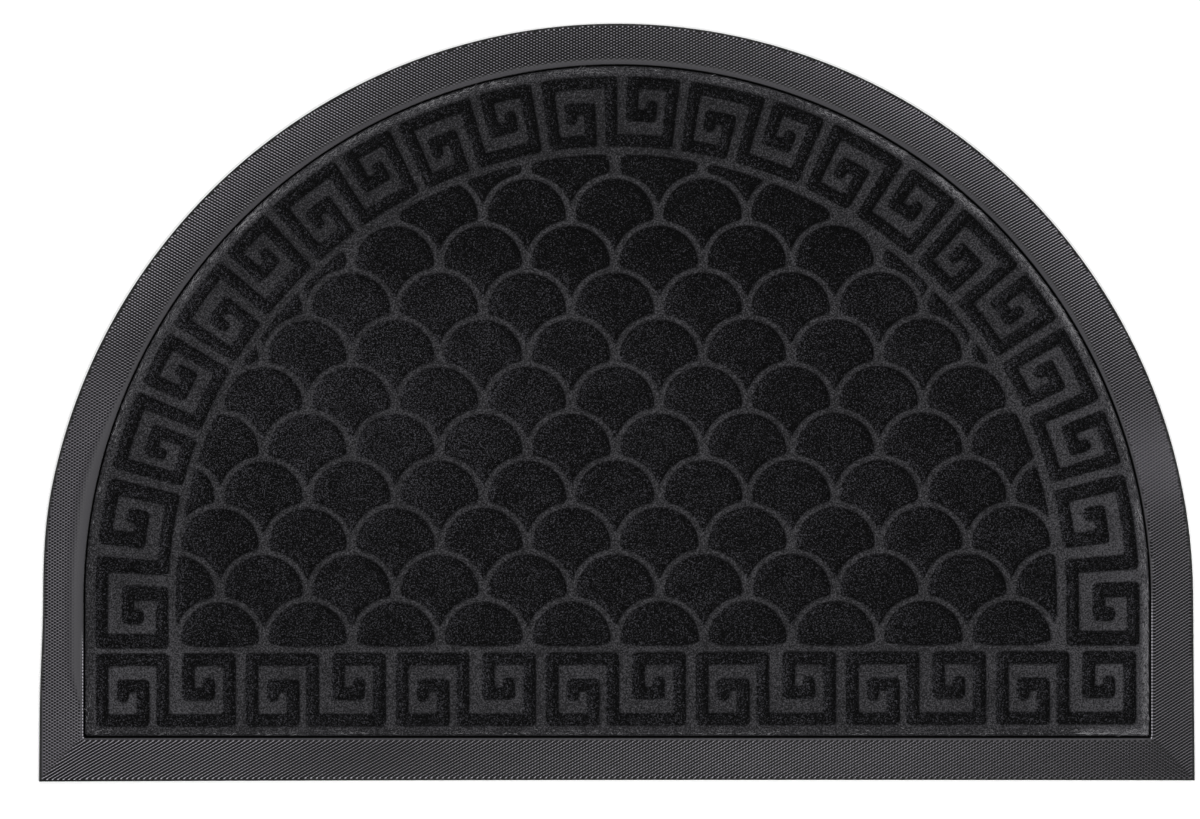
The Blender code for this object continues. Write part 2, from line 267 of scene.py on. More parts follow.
# Adds two values and a factor: a + b * factor
def addScaled(tree, fromA, socketA, fromB, socketB, factor):
    node = addNode(tree, "ShaderNodeMath", operation="MULTIPLY_ADD")
    node.inputs[1].default_value = factor
    link(tree, fromB, socketB, node, 0)
    link(tree, fromA, socketA, node, 2)
    return node


def ramp(tree, fromNode, fromSocket, stops):
    node = addNode(tree, "ShaderNodeValToRGB")
    while len(node.color_ramp.elements) < len(stops):
        node.color_ramp.elements.new(0.5)
    for element, (place, colour) in zip(node.color_ramp.elements, stops):
        element.position = place
        element.color = (*colour, 1)
    link(tree, fromNode, fromSocket, node, "Fac")
    return node


def addBump(tree, texture, shader, strength, height):
    bump = addNode(tree, "ShaderNodeBump", {"Strength": strength, "Distance": height})
    link(tree, texture, "Fac", bump, "Height")
    link(tree, bump, "Normal", shader, "Normal")


# Rubber backing: its shape

backing = {
    "edgeHeight": 1.5 * mm,
    "edgeRound": 0.5 * mm,
    "edgeEase": 0.15 * mm,  # the ring half way round it, in and down
    "edgeStrip": 0.70 * mm,  # a smooth strip along the outer edge, its round included
    "edgeFade": 0.3 * mm,
    "crestHeight": matHigh[2],
    "crestRound": 0.45 * mm,
    "crestEase": (0.12 * mm, 0.15 * mm),  # the same
    "bevelCrown": 0.5 * mm,
    "floorHeight": 2.0 * mm,
    "recessCentreX": 0.2 * mm,
    "recessSideRadius": 276.7 * mm,
    "recessTopRadius": 277.8 * mm,
    "recessFrontY": frontY + 22.3 * mm,
    "smoothStrip": 0.9 * mm,  # beside the recess, before the knurl fades in
}
# A thin raised lip beside the recess, along the straight sides
bead = {
    "height": 0.3 * mm,
    "outer": 0.7 * mm,  # how far its two sides lie from the recess
    "inner": 0.4 * mm,
    "reach": 10 * mm,  # it rises from this far above the arc's centre to this far below it
    "leftShift": 22 * mm,  # and lower by this much on the left
    "corner": 8 * mm,  # how far it runs on round the front corners
    # How light its knobs are painted, as highlights
    "shade": 0.5,
    "dotHighlight": 0.6,
}
knurl = {
    "width": 2.97 * mm,  # from one knob to the next, across and along
    "length": 1.66 * mm,
    "depth": 0.70 * mm,
    "slopeStretch": 0.055,  # the pattern is shortened down the slope of the sides and arc
    "sideFade": 0.5 * mm,  # how far it fades in beside the smooth strip, on the sides and the arc
    "arcFade": 3.0 * mm,
    "fadeSines": (0.2, 0.6),
    "frontFade": 1.2 * mm,  # how much more on the front
    "arcStrip": 1.0 * mm,  # how much wider the smooth strip is along the arc
    "leftStrip": 2.0 * mm,  # and where the left side meets the arc, between four places along it
    "leftFade": 9 * mm,
    "leftStart": (-0.165, -0.135),
    "leftEnd": (-0.05, 0.02),
    "leastFacet": 0.05,  # share of the depth above which the faces are flat
    "arcSines": (0.3, 0.65),  # between which the sides' look turns into the arc's
    "mitre": 1.5 * mm,  # half the width over which the front's turns into the sides'
}


def recessDistance(x, y):
    return halfRoundDistance(
        x, y, backing["recessSideRadius"], backing["recessTopRadius"],
        backing["recessFrontY"], backing["recessCentreX"],
    )


# Height of the rim: it rises from its outer edge to the crest on a slope that bulges in its middle
def bevelHeight(x, y):
    outer = np.maximum(matDistance(x, y) - backing["edgeRound"], 0)
    inner = np.maximum(-recessDistance(x, y) - backing["smoothStrip"], 0)
    share = outer / np.maximum(outer + inner, 0.001 * mm)
    bulge = 4 * share * (1 - share) * backing["bevelCrown"]
    return backing["edgeHeight"] + (backing["crestHeight"] - backing["edgeHeight"]) * share + bulge


# Distance inside the knurled band
def bandDistance(x, y):
    inner = -recessDistance(x, y) - backing["smoothStrip"]
    return np.minimum(matDistance(x, y) - backing["edgeStrip"], inner)


def matCorners(inset):
    half = matHigh[0] - inset
    return [(side * half, matFrontY(side * half) + inset) for side in (-1, 1)]


# The pattern's own points, drawn in towards the recess on the slope of the sides and arc: a radius
# beyond the recess's is shortened by the slope's stretch
def onSlope(x, y):
    up = np.maximum(y - centreY, 0)
    radius = np.maximum(np.hypot(x, up), tiny)
    start, stretch = backing["recessSideRadius"], knurl["slopeStretch"]
    drawn = np.where(radius > start, (radius + stretch * start) / (1 + stretch), radius) / radius
    return x * drawn, np.where(y > centreY, centreY + up * drawn, y)


# Shares of the sides, the arc and the front at points of the rim; the front meets the sides in mitres
def rimShares(x, y):
    onArc = smoothStep(arcSine(x, y), *knurl["arcSines"])
    nearer = matHigh[0] - np.abs(x) - (y - matFrontY(x))
    atFront = smoothStep(nearer, -knurl["mitre"], knurl["mitre"]) * (y < centreY)
    return np.stack([1 - onArc - atFront, onArc, atFront], -1)


# Share of the knurl's full depth: it fades in beyond the smooth strip, and out at the edge's strip
def knurlDepth(x, y):
    onArc = smoothStep(arcSine(x, y), *knurl["fadeSines"])
    onLeft = (x < 0) * smoothStep(y, *knurl["leftStart"]) * (1 - smoothStep(y, *knurl["leftEnd"]))
    start = backing["smoothStrip"] + onArc * knurl["arcStrip"] + onLeft * knurl["leftStrip"]
    reach = knurl["sideFade"] + onArc * (knurl["arcFade"] - knurl["sideFade"])
    reach += rimShares(x, y)[:, 2] * knurl["frontFade"] + onLeft * knurl["leftFade"]
    depth = smoothStep(-recessDistance(x, y), start, start + reach)
    edge = backing["edgeStrip"]
    return depth * smoothStep(matDistance(x, y), edge, edge + backing["edgeFade"])


# Share of the bead's height at points beside the recess
def beadShare(x, y):
    side = backing["recessSideRadius"]
    below = centreY - y - np.where(x < 0, bead["leftShift"], 0)
    straight = smoothStep(below, -bead["reach"], bead["reach"])
    isSide = (y > backing["recessFrontY"]) | (np.abs(x) > side)
    return straight * np.where(isSide, 1, smoothStep(np.abs(x), side - bead["corner"], side))


# Rubber backing: how light it is painted, from the pits (0), painted dark as their shade, to the knobs
# (1), painted light as their highlights. Values in threes are for the sides, the arc and the front, and a
# turn is what is gained from the middle to the right.

tone = {
    "plain": 0.565,  # the smooth parts
    "edge": 0.35,  # the strip along the outer edge, painted darker as its shade
    "dark": 0.1,  # painted shade on the edge's wall and in the recess's gap
    "darkEdge": 0.9,  # share of the edge's strip that is painted shade too
    "darkRecess": 0.2 * mm,  # and how much beside the recess
    "knob": 0.84,  # the knobs, painted light as their highlights, and the ridges between them, where the arc's painted highlight is least and most
    "highlitKnob": 1.06,
    "net": 0.12,
    "highlitNet": -0.06,
    "highlightSines": (0.25, 0.6),  # the arc's painted highlight begins between these
    "topSines": (0.85, 1.0),  # and lessens between these
    "topLess": 0.6,
    "leastHighlight": 0.35,  # near the recess
    "highlightInset": 4 * mm,
    # How far the knobs join up in ridges along one diagonal, raised and painted lighter as stripes lit
    # from across them
    "lean": (0.2, 0.12, 0.35),
    "leanTurn": (0.2, 0, -0.37),
    "arcLean": 0.62,  # along the arc the ridges turn to run outwards on each side
    # Share of an even net painted light, with pits painted dark as shade, instead of light knobs; the
    # front's starts on the left
    "netted": (0.5, 0, 0.95),
    "nettedStart": (-0.22, -0.03),
    "evenKnob": 0.78,
    "evenNet": 0.39,
    # The pattern's contrast about a middle shade, and how much lighter it is painted, standing in for the
    # light and shade each face of the rim gets; the net adds its own
    "middle": 0.62,
    "contrast": (0.751, 2.0, 2.75),
    "contrastTurn": (0.28, -0.12, 0.06),
    "evenContrast": 1.09,
    "lift": (0.275, -0.113, -0.150),
    "liftTurn": (-0.04, 0.032, -0.115),
    "evenLift": -0.64,
    "rightFade": 0.88,  # how far it fades where the right side turns into the arc
    "fadeSine": 0.25,
    "fadeReach": 0.15,
    "fadeLift": 0.047,  # and how much lighter it is painted there, as light
}
rubber = {
    "finish": ("mouldedRubber", 0.45, 0.30),
    # pits painted near black as shade, then the plain rubber, then knobs painted light grey as highlights
    "shades": [
        (0.47, (0.002, 0.002, 0.0023)),
        (0.67, (0.056, 0.0535, 0.0605)),
        (1.0, (0.45, 0.43, 0.48)),
    ],
    "stains": 14,
    "stainShare": 0.06,
    "grain": 1400,
    "grainShare": 0.04,
    "bumpStrength": 0.35,
    "bumpHeight": 0.1 * mm,
}


# Which diagonal's knobs join up in ridges, raised and painted lighter as lit stripes, from -1 (to the
# upper left) to 1 (to the upper right)
def litRidgeLean(x, y):
    up = y - centreY
    shares = rimShares(x, y)
    turn = 2 * x * up / np.maximum(x ** 2 + up ** 2, tiny)
    lean = shares @ tone["lean"] + shares @ tone["leanTurn"] * x / matHigh[0]
    return lean + shares[:, 1] * tone["arcLean"] * turn


# Share of painted highlight on the knobs: most on the arc's sides, and there most near the outer edge
def arcHighlight(x, y):
    sine = arcSine(x, y)
    onTop = smoothStep(sine, *tone["topSines"])
    onArc = smoothStep(sine, *tone["highlightSines"]) * (1 - tone["topLess"] * onTop)
    start = backing["recessSideRadius"] + tone["highlightInset"]
    outward = smoothStep(np.hypot(x, y - centreY), start, outline["arcRadius"])
    return onArc * (tone["leastHighlight"] + (1 - tone["leastHighlight"]) * outward)


# How light the knurl is painted at points that lie this share of the way from a knob to a pit
def knurlShade(x, y, pitShare):
    highlit = arcHighlight(x, y)
    knob = tone["knob"] + (tone["highlitKnob"] - tone["knob"]) * highlit
    net = tone["net"] + (tone["highlitNet"] - tone["net"]) * highlit
    shares = rimShares(x, y)
    netted = shares @ tone["netted"] * (1 - shares[:, 2] * (1 - smoothStep(x, *tone["nettedStart"])))
    knob += (tone["evenKnob"] - knob) * netted
    net += (tone["evenNet"] - net) * netted
    shade = knob * (1 - pitShare) + net * 4 * pitShare * (1 - pitShare)
    # Contrast and lift paint in the light and shade that each face of the rim gets, and how it changes
    # from left to right
    contrast = shares @ tone["contrast"] * (1 + shares @ tone["contrastTurn"] * x / matHigh[0])
    contrast *= 1 + tone["evenContrast"] * netted
    lift = shares @ tone["lift"] + shares @ tone["liftTurn"] * x / matHigh[0]
    lift += tone["evenLift"] * netted
    off = (arcSine(x, y) - tone["fadeSine"]) / tone["fadeReach"]
    faded = 1 - tone["rightFade"] * (x > 0) * np.exp(-off ** 2)
    gained = faded * (contrast * (shade - tone["middle"]) + lift)
    return tone["middle"] + gained + (1 - faded) * tone["fadeLift"]


def makeBacking(finish):
    # The knurl's grid has two crossing steps. Where both counts are even a knob stands, where both are
    # odd a pit lies, and of the points between, those on a ridge are less deep by as much as the others
    # are deeper, so each quad is flat.
    stepA = (knurl["width"] / 4, knurl["length"] / 4)
    stepB = (-knurl["width"] / 4, knurl["length"] / 4)
    strip = backing["edgeStrip"]
    x, y, quads, edges, cells, pinned = gridInside(bandDistance, stepA, stepB, matCorners(strip), onSlope)
    lean = litRidgeLean(x, y)
    pitShare = (cells[:, 0] % 2 * (1 - lean) + cells[:, 1] % 2 * (1 + lean)) / 2
    depth = knurlDepth(x, y)
    z = bevelHeight(x, y) - depth * pitShare * knurl["depth"]
    # Plain rubber inside, and painted shade on the strip along the outer edge
    shade = np.where(matDistance(x, y) > strip + backing["edgeFade"], tone["plain"], tone["edge"])
    shade += depth * (knurlShade(x, y, pitShare) - shade)
    isFacet = depth[quads].max(1) > knurl["leastFacet"]

    isOuter = matDistance(x[edges[:, 0]], y[edges[:, 0]]) < strip + 0.05 * mm
    inner = np.unique(edges[~isOuter])
    share = beadShare(x[inner], y[inner])
    rounding, ease, top = backing["edgeRound"], backing["edgeEase"], backing["edgeHeight"]
    places = ((rounding, top), (ease, top - ease), (0, top - rounding), (0, 0))
    outerRings = [(matDistance, inset, height, matCorners(inset)) for inset, height in places]
    easeIn, easeDown = backing["crestEase"]
    crest = backing["crestHeight"]
    lip = crest + share * bead["height"]
    places = (
        (-bead["outer"], lip),
        (-bead["inner"], lip),
        (-easeIn, crest - easeDown),
        (0, crest - backing["crestRound"]),
        (0, backing["floorHeight"]),
    )
    innerRings = [(recessDistance, inset, height, []) for inset, height in places]
    points, paintedShading = [np.stack([x, y, z], 1)], [shade]
    number = len(x)
    fans, strips = [], []
    for own, rings, closingHeight, pins in (
        (isOuter, outerRings, 0, pinned),
        (~isOuter, innerRings, backing["floorHeight"], []),
    ):
        closing = (0, centreY, closingHeight)
        more, sides, fan = skirt(x, y, edges[own], pins, rings, closing, number)
        points += more
        strips += sides
        fans.append(fan)
        number += sum(len(group) for group in more)
        paintedShading += [np.full(len(group), tone["plain"]) for group in more]
    # The bead's knobs are painted light dots, as their highlights, on its two sides, the first two inner
    # rings
    highlightDots = bead["shade"] + bead["dotHighlight"] * np.cos(math.pi * y[inner] / knurl["length"]) ** 2
    for group in paintedShading[-len(innerRings) - 1:][:2]:
        group += share * (highlightDots - tone["plain"])
    points, paintedShading = np.concatenate(points), np.concatenate(paintedShading)
    # Painted shade on the outer edge's wall and down the recess's walls
    isDark = matDistance(points[:, 0], points[:, 1]) < strip * tone["darkEdge"]
    isDark |= recessDistance(points[:, 0], points[:, 1]) > -tone["darkRecess"]
    paintedShading[isDark] = tone["dark"]
    quads = np.concatenate([quads] + strips)
    isSmooth = np.ones(len(quads) + sum(len(fan) for fan in fans), bool)
    isSmooth[: len(isFacet)] = ~isFacet
    return makeMesh("rubberTray", points, [quads] + fans, finish, {"paintedShading": paintedShading}, isSmooth)


# Moulded rubber: painted black in the pits as their shade and light grey on the knobs as their
# highlights, with slow stains and a fine grain
def rubberFinish():
    finish, tree, shader = newFinish(*rubber["finish"])
    place = addNode(tree, "ShaderNodeTexCoord")
    paintedShading = addNode(tree, "ShaderNodeAttribute", attribute_name="paintedShading")
    stains = noise(tree, place, rubber["stains"], 3)
    grain = noise(tree, place, rubber["grain"])
    mixed = addScaled(tree, paintedShading, "Fac", stains, "Fac", rubber["stainShare"])
    mixed = addScaled(tree, mixed, "Value", grain, "Fac", rubber["grainShare"])
    colour = ramp(tree, mixed, "Value", rubber["shades"])
    link(tree, colour, "Color", shader, "Base Color")
    addBump(tree, grain, shader, rubber["bumpStrength"], rubber["bumpHeight"])
    return finish


# Carpet insert: its shape

carpet = {
    "centreX": 0.1 * mm,
    "sideRadius": 275.9 * mm,
    "topRadius": 277.0 * mm,
    "frontY": insertLow[1],
    "bottom": insertLow[2],
    "channelHeight": 4.8 * mm,
    "channelWave": (0.05 * mm, 3 * mm, 5),  # a wave is its height, size and seed
    "pileHeight": 7.0 * mm,  # the felted body of the pile, below its fibre tips
    "pileWaves": ((0.10 * mm, 7 * mm, 3), (0.05 * mm, 2.2 * mm, 4)),
    "shoulder": 4.6 * mm,  # how far in from a figure's edge the pile reaches its height
    "shoulderPower": 2.4,  # how full its round is
    "gridStep": 1.36 * mm,
    "snapShare": 0.42,  # of a step: points this near to a figure's edge move onto it
    "patternTurn": 0.0025,
    "edgeDrop": 0.7 * mm,  # the pressed margin rounds down to the cut edge
    "edgeReach": 1.6 * mm,
    "rightLift": 0.9 * mm,  # the right margin has sprung up a little
    "liftedX": (0.262, 0.2745),
}
key = {
    "stroke": 0.090,
    "bar": 0.171,
    "hookStroke": 0.086,
    "hookPlace": 0.193,
    "innerPlace": 0.338,
    "armPlace": 0.445,
    "hookEnd": 0.668,
    "hookRound": 2.9 * mm,
    "cornerRound": 2.3 * mm,
}
row = {
    "keys": 7,
    "pitch": 77.8 * mm,
    "length": 72.6 * mm,
    "height": 38.1 * mm,
    "startX": -270.0 * mm,
    "topY": frontY + 66.6 * mm,
    "sharedPlace": 0.478,
}
ring = {
    "centreX": 0.8 * mm,
    "start": -5.7,  # degrees, from the left, and so are the keys' spans
    "spans": (19.3, 16.1, 15.65, 15.45, 15.25, 15.35, 15.35, 15.9, 15.9, 16.4, 19.4),
    "gap": 1.1,
    "outerSide": 270.7 * mm,
    "outerTop": 271.6 * mm,
    "innerSide": 232.9 * mm,
    "innerTop": 235.4 * mm,
    "sharedPlace": 0.504,
    "straightPerDegree": 4.41 * mm,
}
scale = {
    "pitch": 45.6 * mm,
    "rowPitch": 24.35 * mm,
    "x": -0.35 * mm,
    "topRowY": 121.0 * mm,
    "rows": 11,
    "halfWidth": 20.2 * mm,
    "rise": 19.0 * mm,
    "cutHalfWidth": 23.4 * mm,
    "cutRise": 21.9 * mm,
    "cornerRound": 2.2 * mm,
    "fieldSideRadius": 228.4 * mm,
    "fieldTopRadius": 231.2 * mm,
    "fieldFrontY": frontY + 69.8 * mm,
    "smallest": 40 * mm * mm,
    "rowNumbers": 32,  # how many numbers a row's scales may have
}


def insertDistance(x, y):
    return halfRoundDistance(
        x, y, carpet["sideRadius"], carpet["topRadius"], carpet["frontY"], carpet["centreX"]
    )


# Distance inside a box with round corners: inside, the way to its nearest side; outside, the way to
# its corner circle or side
def boxDistance(u, v, lowU, highU, lowV, highV, rounding):
    r = min(rounding, (highU - lowU) / 2, (highV - lowV) / 2)
    pastU = np.abs(u - (lowU + highU) / 2) - ((highU - lowU) / 2 - r)
    pastV = np.abs(v - (lowV + highV) / 2) - ((highV - lowV) / 2 - r)
    outside = np.hypot(np.maximum(pastU, 0), np.maximum(pastV, 0))
    return r - (outside + np.minimum(np.maximum(pastU, pastV), 0))


# The boxes of a key unit, in shares of its length and height: the strokes of one square spiral, the
# same spiral turned half round, and the stroke that they share
def keyBoxes(sharedPlace):
    halfStroke, halfBar, halfHook = key["stroke"] / 2, key["bar"] / 2, key["hookStroke"] / 2
    hook, inner = key["hookPlace"], key["innerPlace"]
    arm, hookEnd, corner = 1 - key["armPlace"], 1 - key["hookEnd"], key["cornerRound"]
    spiral = [
        (hook - halfHook, hook + halfHook, hookEnd, arm + halfBar, key["hookRound"]),
        (hook - halfHook, inner + halfStroke, arm - halfBar, arm + halfBar, corner),
        (inner - halfStroke, inner + halfStroke, 0, arm + halfBar, corner),
        (0, inner + halfStroke, 0, 2 * halfBar, corner),
        (0, 2 * halfStroke, 0, 1, corner),
        (0, sharedPlace + halfStroke, 1 - 2 * halfBar, 1, corner),
    ]
    turned = [(1 - highU, 1 - lowU, 1 - highV, 1 - lowV, r) for lowU, highU, lowV, highV, r in spiral]
    turned[-1] = (sharedPlace - halfStroke, 1, 0, 2 * halfBar, corner)
    shared = (sharedPlace - halfStroke, sharedPlace + halfStroke, 0, 1, corner)
    return spiral + turned + [shared]


# Distance inside a key unit: the largest of its boxes' distances
def keyDistance(u, v, length, height, sharedPlace):
    best = np.full(u.shape, -1.0)
    for lowU, highU, lowV, highV, rounding in keyBoxes(sharedPlace):
        box = boxDistance(
            u, v / height * row["height"], lowU * length, highU * length,
            lowV * row["height"], highV * row["height"], rounding,
        )
        best = np.maximum(best, box)
    return best


def rowDistance(x, y):
    number = np.round((x - row["startX"] - row["length"] / 2) / row["pitch"])
    number = np.clip(number, 0, row["keys"] - 1)
    u = x - row["startX"] - number * row["pitch"]
    v = y - row["topY"] + row["height"]
    return keyDistance(u, v, row["length"], row["height"], row["sharedPlace"])


# Distance inside the ring's keys: a point's angle and depth in the ring are its place along and up a
# key. Below the arc's centre the ring runs on straight down, and a length there stands for an angle.
def ringDistance(x, y):
    x, up = x - ring["centreX"], np.maximum(y - centreY, 0)
    radius = np.maximum(np.hypot(x, up), tiny)
    degrees = np.degrees(np.arctan2(up, -x))
    past = np.maximum(centreY - y, 0) / ring["straightPerDegree"]
    degrees = np.where(x < 0, degrees - past, degrees + past)
    sine = (up / radius) ** 2
    outer = ring["outerSide"] + (ring["outerTop"] - ring["outerSide"]) * sine
    inner = ring["innerSide"] + (ring["innerTop"] - ring["innerSide"]) * sine
    depth = (outer - radius) / (outer - inner)
    spans = np.array(ring["spans"])
    starts = ring["start"] + np.concatenate([[0], np.cumsum(spans + ring["gap"])[:-1]])
    number = np.clip(np.searchsorted(starts - ring["gap"] / 2, degrees) - 1, 0, len(spans) - 1)
    height = ring["outerTop"] - ring["innerTop"]
    length = math.radians(spans[0]) * (ring["outerTop"] + ring["innerTop"]) / 2
    u = (degrees - starts[number]) / spans[number] * length
    return keyDistance(u, (1 - depth) * height, length, height, ring["sharedPlace"])


# Distance inside the scale of one row that is nearest in x, and that scale's own number: inside its
# dome, and outside the two domes of the next row
def scaleDistance(x, y, number):
    shift = np.where(number % 2 == 0, 0.5, 0.0)
    column = np.round((x - scale["x"]) / scale["pitch"] - shift)
    acrossX = x - scale["x"] - (column + shift) * scale["pitch"]
    acrossY = y - scale["topRowY"] + number * scale["rowPitch"]
    dome = (1 - np.hypot(acrossX / scale["halfWidth"], acrossY / scale["rise"])) * scale["halfWidth"]
    sideX = (np.abs(acrossX) - scale["pitch"] / 2) / scale["cutHalfWidth"]
    sideY = (acrossY + scale["rowPitch"]) / scale["cutRise"]
    hollow = (np.hypot(sideX, sideY) - 1) * scale["cutHalfWidth"]
    own = number * scale["rowNumbers"] + column + scale["rowNumbers"] // 2
    return easedLesser(dome, hollow, scale["cornerRound"]), own


def fieldDistance(x, y, isSmall=None):
    border = halfRoundDistance(
        x, y, scale["fieldSideRadius"], scale["fieldTopRadius"], scale["fieldFrontY"], 0.0
    )
    best, owner = np.full(x.shape, -1.0), np.zeros(x.shape, int)
    nearest = np.floor((scale["topRowY"] - y) / scale["rowPitch"])
    for offset in (0, 1, 2):
        number = nearest + offset
        found, own = scaleDistance(x, y, number)
        found = np.where((number >= 0) & (number < scale["rows"]), found, -1.0)
        owner = np.where(found > best, own, owner).astype(int)
        best = np.maximum(best, found)
    best = easedLesser(best, border, scale["cornerRound"])
    if isSmall is None:
        return best, owner
    return np.where(isSmall[owner], -1.0, best)


# Scales that the field's border leaves too small aren't raised: their areas are counted on a grid
def smallScales(step=1 * mm, half=235 * mm):
    x, y = np.meshgrid(np.arange(-half, half, step), np.arange(frontY, matHigh[1], step))
    inside, owner = fieldDistance(x, y)
    numbers = scale["rows"] * scale["rowNumbers"]
    areas = np.bincount(owner.ravel(), (inside > 0).ravel() * step ** 2, numbers)
    return areas < scale["smallest"]


isSmall = smallScales()


# Distance inside the raised figures: the largest of the field's, the row's and the ring's
def patternDistance(x, y):
    cos, sin = math.cos(carpet["patternTurn"]), math.sin(carpet["patternTurn"])
    turnedX, turnedY = x * cos + y * sin, y * cos - x * sin
    straight = np.maximum(rowDistance(turnedX, turnedY), fieldDistance(turnedX, turnedY, isSmall))
    return np.maximum(straight, ringDistance(x, y))


# Height of the carpet's surface: the pressed channels, and the pile that rises from them on a round
# shoulder; the margin rounds down to the cut edge
def carpetHeight(x, y):
    inside = patternDistance(x, y)
    share = np.clip(inside / carpet["shoulder"], 0, 1)
    rise = np.sqrt(1 - (1 - share) ** carpet["shoulderPower"])
    fromEdge = insertDistance(x, y)
    z = carpet["channelHeight"] + rise * (carpet["pileHeight"] - carpet["channelHeight"])
    for height, size, seed in carpet["pileWaves"]:
        z += rise * height * unevenness(x, y, size, seed)
    height, size, seed = carpet["channelWave"]
    z += (1 - rise) * height * unevenness(x, y, size, seed)
    z -= carpet["edgeDrop"] * np.clip(1 - fromEdge / carpet["edgeReach"], 0, 1) ** 2
    lift = smoothStep(x, *carpet["liftedX"]) * (1 - rise)
    return z + lift * carpet["rightLift"], inside


# Carpet insert: how light it is

# The margin's painted shine, and the lighter and darker tone of the channels and margin from place to
# place
shineAndTone = {
    "marginReach": 5.0 * mm,  # the pressed margin along the insert's edge
    "marginFade": 1.0 * mm,
    "shineAndToneShift": 0.5,  # how much painted shine the arc's margin has, and less at the top
    "shineSines": (0.15, 0.5),
    "topLess": 0.3,
    "topSines": (0.75, 0.95),
    "rightShine": 0.79,  # and the right side's
    "rightX": (0.235, 0.255),
    "rightSines": (0.0, 0.5),
    "channels": -0.06,  # how much lighter the channels are all over
    "brightened": 0.6,  # at the right side and the left front corner
    "brightenedRightX": (0.19, 0.26),
    "brightenedRightY": (0.01, 0.08),
    "brightenedLeftX": (0.19, 0.25),
    "brightenedLeftY": (-0.14, -0.09),
    "upperLeft": -0.3,  # and in the ring's upper left
    "upperLeftX": (0.03, 0.14),
    "upperLeftY": (0.02, 0.1),
    "ringRadius": (0.225, 0.235),
    "dimmed": 0.2,  # how much darker the margin is along the left side and the front
    "dimmedSines": (0.0, 0.3),
    "dimmedX": (0.24, 0.26),
}
# The pile's painted light and shade on its figures' shoulders, and its patches of lighter and darker tone
nap = {
    "litReach": (1 * mm, 6 * mm),  # how far from a figure's edge the painted light and shade of its sides fades
    "light": 0.8,  # the field's upper left
    "lightPlace": (-0.125, 0.01),
    "lightReach": 0.085,
    "top": -0.6,
    "topY": (0.05, 0.11),
    "band": -0.45,  # a darker band across the field
    "bandPlace": 0.078,
    "bandReach": 0.020,
    "bandX": (0.10, 0.16),
    "all": -0.25,
}
felt = {
    "finish": ("needleFelt", 0.92, 0.12),
    "channelShades": [
        (0.43, (0.007, 0.0069, 0.0076)),
        (0.55, (0.020, 0.0197, 0.0216)),
        (0.73, (0.068, 0.0666, 0.0728)),
    ],
    "pileShades": [
        (0.49, (0.0002, 0.0002, 0.0003)),
        (0.59, (0.0009, 0.0009, 0.0011)),
        (0.73, (0.054, 0.0532, 0.0610)),
    ],
    "overhang": 0.6 * mm,  # the pile leans out over its left edges
    "edgeBlur": 2.4 * mm,  # over which the channels' look turns into the pile's
    "fibres": 1300,
    "clouds": 60,
    "cloudShare": 0.11,
    # How far the painted light and shade of the shoulders, and the patches, move the pile's speckle
    "litShare": 0.04,
    # How far the margin's painted shine and the channels' tone move the channels' speckle
    "paintedShineShare": 0.115,
    "edgeFibres": 0.5,  # how far single fibres break up a figure's edge
    "edgeRange": (0.55, 0.85),
    "bumpStrength": 0.6,
    "bumpHeight": 0.3 * mm,
}


def marginShare(x, y):
    start = shineAndTone["marginReach"] - shineAndTone["marginFade"]
    return 1 - smoothStep(insertDistance(x, y), start, shineAndTone["marginReach"])


# How much painted shine the margin has: most on the right side, less along the arc, and nowhere else
def paintedShineShare(x, y):
    sine = arcSine(x, y)
    onTop = smoothStep(sine, *shineAndTone["topSines"])
    onArc = smoothStep(sine, *shineAndTone["shineSines"]) * (shineAndTone["shineAndToneShift"] - shineAndTone["topLess"] * onTop)
    onRight = smoothStep(x, *shineAndTone["rightX"]) * (1 - smoothStep(sine, *shineAndTone["rightSines"]))
    return marginShare(x, y) * np.maximum(onArc, shineAndTone["rightShine"] * onRight)


# How much lighter the channels are inside the margin: most at the right side and the left front corner,
# and least in the ring's upper left. The margin itself is darker along the left side and the front.
def channelToneShare(x, y):
    onRight = smoothStep(x, *shineAndTone["brightenedRightX"]) * (1 - smoothStep(y, *shineAndTone["brightenedRightY"]))
    onCorner = smoothStep(-x, *shineAndTone["brightenedLeftX"]) * (1 - smoothStep(y, *shineAndTone["brightenedLeftY"]))
    onUpperLeft = smoothStep(y, *shineAndTone["upperLeftY"]) * (1 - smoothStep(x, *shineAndTone["upperLeftX"]))
    onUpperLeft *= smoothStep(np.hypot(x, y - centreY), *shineAndTone["ringRadius"])
    inner = shineAndTone["brightened"] * np.maximum(onRight, onCorner) + shineAndTone["channels"]
    inner += shineAndTone["upperLeft"] * onUpperLeft
    isDimmed = 1 - smoothStep(arcSine(x, y), *shineAndTone["dimmedSines"])
    isDimmed *= 1 - smoothStep(x, *shineAndTone["dimmedX"])
    return inner + marginShare(x, y) * (-shineAndTone["dimmed"] * isDimmed - inner)


# How much lighter the pile is painted from place to place: lightest in the field's upper left, darkest
# along its top and in the keys
def pileToneShare(x, y):
    lightX, lightY = nap["lightPlace"]
    light = nap["light"] * np.exp(-(np.hypot(x - lightX, y - lightY) / nap["lightReach"]) ** 2)
    band = nap["band"] * np.exp(-((y - nap["bandPlace"]) / nap["bandReach"]) ** 2)
    band *= 1 - smoothStep(np.abs(x), *nap["bandX"])
    return light + nap["top"] * smoothStep(y, *nap["topY"]) + band + nap["all"]


# How light a figure is painted: lighter as lit where its shoulder faces left (1), darker as shaded where
# it faces right (-1), and its patches of tone
def litShare(x, y, inside):
    facing = np.clip(slope(patternDistance, x, y)[0], -1, 1)
    return facing * (1 - smoothStep(inside, *nap["litReach"])) + pileToneShare(x, y)


